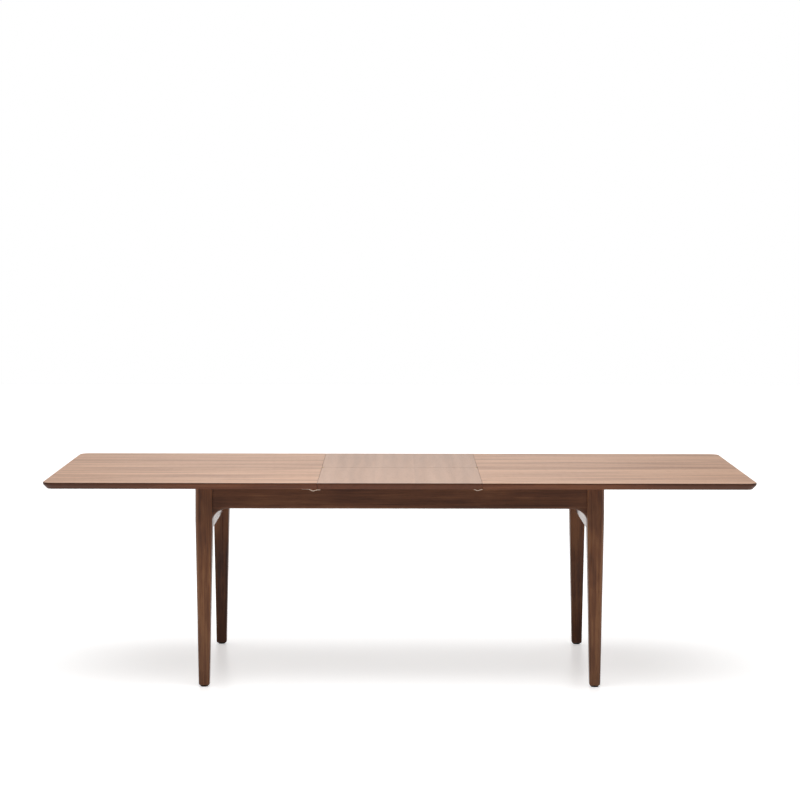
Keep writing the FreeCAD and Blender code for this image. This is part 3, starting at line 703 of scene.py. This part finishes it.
def leg_shell(sizes, node, side, face):
    """Leg: rounded squares stacked along Z, straight at the block and tapered below it."""
    low, high = low_high(node)
    centre = (low[:2] + high[:2]) / 2
    top_half = (high[0] - low[0]) / 2
    foot_half = sizes.leg_foot_width / 2
    foot_z = low[2] + sizes.foot_chamfer
    block_z = high[2] - sizes.leg_block_height
    outer = {(1, 1): 0, (-1, 1): 1, (-1, -1): 2, (1, -1): 3}[side, face]
    taper = np.linspace(0, 1, TAPER_STEPS + 1)
    levels = foot_z + (block_z - foot_z) * taper
    halves = foot_half + (top_half - foot_half) * taper
    rounds = sizes.foot_outer_radius + (sizes.leg_outer_radius - sizes.foot_outer_radius) * taper
    ease = sizes.rail_arris
    chamfer = sizes.foot_chamfer
    stations = [(low[2], foot_half - chamfer, rounds[0] - chamfer, sizes.leg_edge_radius - chamfer)]
    stations += [(z, half, radius, sizes.leg_edge_radius)
                 for z, half, radius in zip(levels, halves, rounds)]
    stations += [(high[2] - ease, top_half, rounds[-1], sizes.leg_edge_radius),
                 (high[2], top_half - ease, rounds[-1] - ease, sizes.leg_edge_radius - ease)]
    loops = []
    for z, half, radius, edge in stations:
        radii = [radius if corner == outer else edge for corner in range(4)]
        loop = rounded_square(centre, half, radii)
        loops.append(np.column_stack([loop, np.full(len(loop), z)]))
    shell = Shell()
    shell.tube(np.array(loops))
    return shell


def rail_section(inner, outer, lower_round, arris):
    """Upright section of a rail, split into its lower line, given as lift, and its upper line.

    The lower line goes from the inner face round the lower arris and the lower outer edge. The
    upper line, given as drop from the upper edge, returns round the two upper arrises.
    """
    way = np.sign(outer - inner)
    width = abs(outer - inner)
    lower = np.concatenate([
        [(0, arris + SUPPORT)], arc((arris, arris), arris, 180, 270),
        arc((width - lower_round, lower_round), lower_round, 270, 360),
        [(width, lower_round + SUPPORT)],
    ])
    upper = np.concatenate([
        [(width, -arris - SUPPORT)], arc((width - arris, -arris), arris, 0, 90),
        arc((arris, -arris), arris, 90, 180), [(0, -arris - SUPPORT)],
    ])
    return [line * (way, 1) + (inner, 0) for line in (lower, upper)]


def long_rail_shell(sizes, node):
    """Long rail: its section carried along X, its lower line dropping round hollow ears.

    Over an ear the lower line follows circles about the ear's centre, each larger by its lift.
    """
    low, high = low_high(node)
    faces = sorted([low[1], high[1]], key=abs)
    lower, upper = rail_section(*faces, sizes.rail_round, sizes.rail_arris)
    line_z = high[2] - sizes.rail_depth
    tip_drop = line_z - low[2]
    radius = sizes.ear_radius
    end_x = low_high("leg_front_right")[0][0]
    ear_turn = math.acos(1 - tip_drop / radius)
    ear_x = end_x - radius * math.sin(ear_turn)
    ear = ear_x + radius * np.sin(np.linspace(0, ear_turn, 2 * ARC_STEPS + 1))
    middle = np.linspace(-ear_x, ear_x, RUN_STEPS + 1)[1:-1]
    x = np.concatenate([-ear[::-1], middle, ear])[:, None]
    reach = np.clip(np.abs(x) - ear_x, 0, None)
    z = line_z - radius + np.sqrt((radius + lower[:, 1]) ** 2 - reach ** 2)
    below = np.stack(np.broadcast_arrays(x, lower[:, 0], z), -1)
    above = np.stack(np.broadcast_arrays(x, upper[:, 0], high[2] + upper[:, 1]), -1)
    shell = Shell()
    shell.tube(np.concatenate([below, above], axis=1))
    return shell


def end_rail_shell(sizes, node):
    """End rail: its section carried straight along Y between the legs."""
    low, high = low_high(node)
    faces = sorted([low[0], high[0]], key=abs)
    lower, upper = rail_section(*faces, sizes.end_rail_round, sizes.rail_arris)
    section = np.concatenate([lower + (0, low[2]), upper + (0, high[2])])
    end_y = low_high("leg_back_right")[0][1]
    y = np.linspace(-end_y, end_y, RUN_STEPS)[:, None]
    shell = Shell()
    shell.tube(np.stack(np.broadcast_arrays(section[:, 0], y, section[:, 1]), -1))
    return shell


def glide_shell(sizes, node, sole):
    """Glide: a rounded profile turned about the upright line through its middle."""
    low, high = low_high(node)
    centre = (low + high) / 2
    radius, ease = (high[0] - low[0]) / 2, sizes.glide_round
    profile = np.concatenate([
        [(0, low[2])], arc((radius - ease, low[2] + ease), ease, -90, 0),
        arc((radius - ease, sole - ease), ease, 0, 90), [(0, sole)],
    ])
    turns = np.linspace(0, 2 * math.pi, 4 * ARC_STEPS, endpoint=False)
    x = centre[0] + profile[:, :1] * np.cos(turns)
    y = centre[1] + profile[:, :1] * np.sin(turns)
    shell = Shell()
    shell.grid(np.stack(np.broadcast_arrays(x, y, profile[:, 1:]), -1), True)
    return shell


# Ends and bends of a clip, in millimetres along X from the seam and down from the underside.
CLIP_MARKS = {
    "left": ((-58, 0), (-32, 0), (-16, 7), (-6, 3.5), (10, 2.5)),
    "right": ((36, 0), (10, 0), (-6, 3.5), (-16, 7), (-32, 0.6)),
}
# Angle on each side of the web over which a rolled edge stays open, in degrees.
ROLL_OPENING = 40


def rounded_line(marks, radius):
    """A line through marks whose bends are circle arcs, with its left-hand normals."""
    ways = np.diff(marks, axis=0)
    ways /= np.linalg.norm(ways, axis=1)[:, None]
    sides = np.stack([-ways[:, 1], ways[:, 0]], -1)
    points, normals = [marks[:1]], [sides[:1]]
    for mark, before, after, side in zip(marks[1:-1], ways, ways[1:], sides):
        turn = math.atan2(before[0] * after[1] - before[1] * after[0], before @ after)
        bend = math.copysign(radius, turn)
        start = mark - before * abs(radius * math.tan(turn / 2))
        centre = start + side * bend
        angles = np.linspace(0, turn, BEND_STEPS + 1)[:, None]
        normal = side * np.cos(angles) - before * np.sin(angles)
        points.append(centre - normal * bend)
        normals.append(normal)
    return np.concatenate([*points, marks[-1:]]), np.concatenate([*normals, sides[-1:]])


def clips_shell(sizes, node, side):
    """Seam clips: a flat strip with rolled edges, bent along a line of marks.

    Its section is a web with most of a circle at each edge, thicker than the web. It is carried
    along the bent line, square to it, once near each long edge of the table.
    """
    low, high = low_high(node)
    seam_low, seam_high = low_high(side + "_top")
    seam_x = seam_high[0] if side == "left" else seam_low[0]
    marks = np.array(CLIP_MARKS[side]) * (MM, -MM) + (seam_x, seam_low[2])
    line, normal = rounded_line(marks, sizes.clip_bend_radius)
    down = -normal * np.sign(normal[:, 1:])
    width, roll = clip_width(node), sizes.clip_roll / 2
    bead = arc((roll, roll), roll, ROLL_OPENING, 360 - ROLL_OPENING, 2 * ARC_STEPS)
    section = np.concatenate([bead, bead[::-1] * (-1, 1) + (width, 0)])
    shell = Shell()
    for face in (-1, 1):
        edge = high[1] if face > 0 else low[1]
        y = edge - face * section[:, 0]
        x = line[:, :1] + down[:, :1] * section[:, 1]
        z = line[:, 1:] + down[:, 1:] * section[:, 1]
        shell.tube(np.stack(np.broadcast_arrays(x, y, z), -1))
    return shell


def clip_width(node):
    """Width of one clip: the reach along Y of the node's points on its back half."""
    back = [point.co.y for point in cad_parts[node].data.vertices if point.co.y > 0]
    return max(back) - min(back)


def heights(node):
    """Lowest and highest point of a frame node."""
    return [corner[2] for corner in low_high(node)]


def tones(finishes, wood):
    """Tones of a wood, from dark to light."""
    return [getattr(finishes, f"{wood}_{tone}") for tone in ("dark", "middle", "light")]


# Widths of the veneer strips, and how far into the log each wood is cut.
TOP_STRIP = 165 * MM
LEAF_STRIP = 150 * MM
TOP_LOG = (0, 0, 1.83)
LEG_LOG = (1.54, 0.74, 1.06)
# The long rails' cut puts a darker band of grain along their upper part, as painted shade under the
# tops' overhang.
LONG_RAIL_SHADED_LOG = (7.2, 0, 3.01)
# How finely the rails' and legs' grain is drawn next to that of the tops.
RAIL_FINENESS = 1.4
LEG_FINENESS = 2.2


class BuildStep:
    """What the building operators have in common."""

    bl_options = {"REGISTER", "UNDO"}

    def execute(self, context):
        self.build(context.scene.table_sizes, context.scene.table_finishes)
        return {"FINISHED"}


class TABLE_OT_end_tops(BuildStep, bpy.types.Operator):
    """Build the two end tops with their shaped edges"""

    bl_idname = "table.end_tops"
    bl_label = "End tops"

    def build(self, sizes, finishes):
        veneer = walnut("top_walnut", "X", tones(finishes, "edge"), sheen=0.4, shift=TOP_LOG,
                        strip_width=TOP_STRIP, face_tones=tones(finishes, "top"),
                        faces=heights("left_top"))
        for side, end in zip((-1, 1), ENDS):
            shell = top_shell(sizes, end + "_top", side)
            put_piece(shell, end + "_end_top", veneer, "top_" + end, "walnut", end + "_top")


class TABLE_OT_leaf(BuildStep, bpy.types.Operator):
    """Build the two halves of the folding leaf"""

    bl_idname = "table.leaf"
    bl_label = "Folding leaf"

    def build(self, sizes, finishes):
        veneer = walnut("leaf_walnut", "Y", tones(finishes, "edge"), sheen=0.4, contrast=0.7,
                        strip_width=LEAF_STRIP, face_tones=tones(finishes, "leaf"),
                        faces=heights("leaf_front"))
        for face, half in zip((-1, 1), FACES):
            node = "leaf_" + half
            put_piece(leaf_shell(sizes, node, face), node + "_half", veneer, node, "walnut", node)


class TABLE_OT_legs(BuildStep, bpy.types.Operator):
    """Build the four tapered legs"""

    bl_idname = "table.legs"
    bl_label = "Legs"

    def build(self, sizes, finishes):
        wood = walnut("leg_walnut", "Z", tones(finishes, "leg"), sheen=0.29, fineness=LEG_FINENESS,
                      contrast=0.75, shift=LEG_LOG, foot_shade=0.28)
        for face, row in zip((-1, 1), FACES):
            for side, end in zip((-1, 1), ENDS):
                node = f"leg_{row}_{end}"
                shell = leg_shell(sizes, node, side, face)
                put_piece(shell, node + "_shaped", wood, "frame", "walnut", node)


class TABLE_OT_rails(BuildStep, bpy.types.Operator):
    """Build the long rails with their ears and the end rails"""

    bl_idname = "table.rails"
    bl_label = "Rails"

    def build(self, sizes, finishes):
        along = walnut("long_rail_walnut", "X", tones(finishes, "rail"), sheen=0.42,
                       fineness=RAIL_FINENESS, contrast=0.7, shift=LONG_RAIL_SHADED_LOG)
        across = walnut("end_rail_walnut", "Y", tones(finishes, "rail"), sheen=0.38,
                        fineness=RAIL_FINENESS, contrast=0.7, inner_polish=0.28)
        for row in FACES:
            node = row + "_rail"
            shell = long_rail_shell(sizes, node)
            put_piece(shell, node + "_shaped", along, "frame", "walnut", node)
        for end in ENDS:
            node = end + "_end_rail"
            shell = end_rail_shell(sizes, node)
            put_piece(shell, node + "_shaped", across, "frame", "walnut", node)


class TABLE_OT_glides(BuildStep, bpy.types.Operator):
    """Build the glides under the feet"""

    bl_idname = "table.glides"
    bl_label = "Glides"

    def build(self, sizes, finishes):
        black = moulded("glide_black", finishes.glide, roughness=0.6)
        for row in FACES:
            for end in ENDS:
                node = f"glide_{row}_{end}"
                sole = low_high(f"leg_{row}_{end}")[0][2]
                shell = glide_shell(sizes, node, sole)
                put_piece(shell, node + "_pad", black, "frame", "glide_black", node)


class TABLE_OT_clips(BuildStep, bpy.types.Operator):
    """Build the bent seam clips"""

    bl_idname = "table.clips"
    bl_label = "Seam clips"

    def build(self, sizes, finishes):
        sprung = metal("clip_metal", finishes.clip_metal, roughness=0.2, drawn_scale=600.0)
        for end in ENDS:
            node = end + "_seam_clips"
            shell = clips_shell(sizes, node, end)
            put_piece(shell, node + "_bent", sprung, "top_" + end, "clip_metal", node)


class TABLE_OT_runners(BuildStep, bpy.types.Operator):
    """Finish the runners, guides, bearers and blocks in pale wood"""

    bl_idname = "table.runners"
    bl_label = "Runners and bearers"

    def build(self, sizes, finishes):
        along = beech("beech_along", "X", finishes)
        across = beech("beech_across", "Y", finishes)
        upright = beech("beech_upright", "Z", finishes)
        dress(along, "spine_board")
        dress(across, "bearer_left", "bearer_right")
        for row in FACES:
            dress(along, *[f"{end}_runner_{row}" for end in ENDS])
            dress(along, *[f"guide_{place}_{row}" for place in ("inner", "middle", "outer")])
            dress(upright, *[f"corner_block_{row}_{end}" for end in ENDS])


class TABLE_OT_hardware(BuildStep, bpy.types.Operator):
    """Finish the bolts, screws, linkage, hinges and slide strips"""

    bl_idname = "table.hardware"
    bl_label = "Hardware"

    def build(self, sizes, finishes):
        steel = metal("zinc_steel", finishes.steel, roughness=0.34, drawn_scale=300.0)
        brass = metal("hinge_brass", finishes.brass, roughness=0.3, drawn_scale=500.0)
        dress(steel, "hanger_bolts", "hanger_washers", "hanger_nuts", "guide_screws", "sync_lever",
              "sync_lever_pins", "sync_pivot_bolt")
        for end in ENDS:
            dress(steel, "sync_rod_" + end, end + "_link_bracket", end + "_top_screws")
        for row in FACES:
            dress(brass, "leaf_hinge_plates_" + row, "leaf_hinge_screws_" + row)
        dress(brass, "leaf_hinge_links")
        dress(moulded("strip_nylon", finishes.strip, roughness=0.42),
              *["slide_strip_" + place for place in FACES + ENDS])


# The floor reaches this far each way, and lies just under the glides.
FLOOR_REACH = 14.0
FLOOR_STEPS = 8
FLOOR_DROP = 0.1 * MM
FLOOR_SHEEN = 0.33
FLOOR_IOR = 1.33
MOTTLE_SCALE = 3.0
MOTTLE_ROUGHNESS = 0.05
OVERHEAD_PLACE = (0, -0.4, 3)
POOL_PLACE = (-0.15, -0.8, 2.4)
POOL_SIZE = (1.6, 1.0)
# Directions along Y over which the surroundings brighten from front to back, and along X at which
# the mirrored backdrop's left and right edges lie.
FRONT_TO_BACK = (-0.6, 0.35)
LEFT_EDGE = (-0.16, -0.1)
RIGHT_EDGE = (0.075, 0.15)
SENSOR_MM = 36
VIEW_REACH = 100


def seen_rays(tree):
    """Whether a ray comes from the camera, or from a reflection, or through glass."""
    return [tree.add("LightPath", output=output) for output in
            ("Is Camera Ray", "Is Glossy Ray", "Is Transmission Ray")]


class TABLE_OT_stage(bpy.types.Operator):
    """Set up the floor, the soft overhead light, the white surroundings and the camera"""

    bl_idname = "table.stage"
    bl_label = "Studio"
    bl_options = {"REGISTER", "UNDO"}

    def execute(self, context):
        studio = context.scene.table_studio
        self.floor(context.scene, context.scene.table_finishes, studio)
        self.light(context.scene, studio)
        self.surroundings(context.scene, studio)
        self.camera(context.scene, studio)
        context.scene.view_settings.view_transform = "Standard"
        return {"FINISHED"}

    def floor(self, scene, finishes, studio):
        """Flat floor that keeps the table's shadow and glows for the camera and in reflections."""
        reach = np.linspace(-FLOOR_REACH, FLOOR_REACH, FLOOR_STEPS + 1)
        x, y = np.meshgrid(reach, reach)
        shell = Shell()
        shell.grid(np.stack([x, y, np.full_like(x, -FLOOR_DROP)], -1))
        mesh = shell.mesh("studio_floor")
        material, tree = new_material("floor_white")
        camera, glossy, transmitted = seen_rays(tree)
        mottle = tree.noise(tree.coordinates(), MOTTLE_SCALE)
        colour = tree.mix(camera, opaque(finishes.floor, studio.floor_bounce),
                          opaque(finishes.floor))
        mirrored = tree.mix(glossy + transmitted, opaque(BLACK),
                            opaque(finishes.mirrored_floor, studio.floor_mirror))
        glow = tree.mix(camera, mirrored, opaque(WHITE, studio.floor_glow))
        surface(tree, colour, FLOOR_SHEEN + MOTTLE_ROUGHNESS * mottle, mottle, 0.0,
                {"IOR": FLOOR_IOR, "Emission Color": glow, "Emission Strength": 1.0})
        mesh.materials.append(material)
        floor = bpy.data.objects.new("studio_floor", mesh)
        scene.collection.objects.link(floor)

    def light(self, scene, studio):
        """A broad soft light from above and a lamp over the near side of the table."""
        lamp = bpy.data.lights.new("overhead", "SUN")
        lamp.energy = studio.overhead
        lamp.angle = studio.overhead_spread
        overhead = bpy.data.objects.new("overhead", lamp)
        overhead.location = OVERHEAD_PLACE
        overhead.rotation_euler = (studio.overhead_lean, 0, 0)
        scene.collection.objects.link(overhead)
        panel = bpy.data.lights.new("pool", "AREA")
        panel.energy = studio.pool
        panel.shape = "RECTANGLE"
        panel.size, panel.size_y = POOL_SIZE
        pool = bpy.data.objects.new("pool", panel)
        pool.location = POOL_PLACE
        scene.collection.objects.link(pool)

    def surroundings(self, scene, studio):
        """White for the camera, and for other rays brighter behind the table than in front.

        In reflections the white backdrop has a left and a right edge, past which it is darker.
        """
        scene.world = bpy.data.worlds.new("studio_white")
        tree = Tree(scene.world)
        camera, glossy, transmitted = seen_rays(tree)
        mirrored = glossy + transmitted
        direction = tree.coordinates("Generated")
        side = tree.part(direction, "X")
        shade = tree.step(tree.part(direction, "Y"), *FRONT_TO_BACK, studio.front_level, 1.0)
        left = tree.step(side, *LEFT_EDGE, studio.left_level, 1.0)
        right = tree.step(side, *RIGHT_EDGE, 1.0, studio.right_level)
        level = shade * (mirrored * left * right + studio.ambient * (1 - mirrored))
        strength = camera + (1 - camera) * level
        white = tree.add("Background", {}, {"Color": opaque(WHITE), "Strength": strength})
        tree.add("OutputWorld", {}, {"Surface": white})

    def camera(self, scene, studio):
        """Camera at the eye, tilted down, turned and rolled."""
        lens = bpy.data.cameras.new("camera")
        lens.lens = studio.focal_length
        lens.sensor_width = SENSOR_MM
        lens.shift_y = studio.frame_shift
        lens.clip_end = VIEW_REACH
        camera = bpy.data.objects.new("camera", lens)
        tilt, roll, turn = studio.aim
        aim = Euler((math.pi / 2 - tilt, 0, turn)).to_matrix().to_4x4()
        camera.matrix_world = Matrix.Translation(studio.eye) @ aim @ Matrix.Rotation(roll, 4, "Z")
        scene.collection.objects.link(camera)
        scene.camera = camera


OPERATORS = (TABLE_OT_end_tops, TABLE_OT_leaf, TABLE_OT_legs, TABLE_OT_rails, TABLE_OT_glides,
             TABLE_OT_clips, TABLE_OT_runners, TABLE_OT_hardware, TABLE_OT_stage)
GROUPS = {"table_sizes": TableSizes, "table_finishes": TableFinishes,
          "table_studio": StudioSettings}


class TABLE_PT_panel(bpy.types.Panel):
    """Sizes, finishes and studio of the table, with a button for each building step"""

    bl_idname = "TABLE_PT_panel"
    bl_label = "Extending table"
    bl_space_type = "VIEW_3D"
    bl_region_type = "UI"
    bl_category = "Table"

    def draw(self, context):
        for name, group in GROUPS.items():
            box = self.layout.box()
            for prop in group.__annotations__:
                box.prop(getattr(context.scene, name), prop)
        for operator in OPERATORS:
            self.layout.operator(operator.bl_idname)


CLASSES = (*GROUPS.values(), *OPERATORS, TABLE_PT_panel)


def register():
    for item in CLASSES:
        bpy.utils.register_class(item)
    for name, group in GROUPS.items():
        setattr(bpy.types.Scene, name, PointerProperty(type=group))


def unregister():
    for name in GROUPS:
        delattr(bpy.types.Scene, name)
    for item in reversed(CLASSES):
        bpy.utils.unregister_class(item)


def main():
    register()
    for operator in OPERATORS:
        group, name = operator.bl_idname.split(".")
        getattr(getattr(bpy.ops, group), name)()


if __name__ == "__main__":
    main()
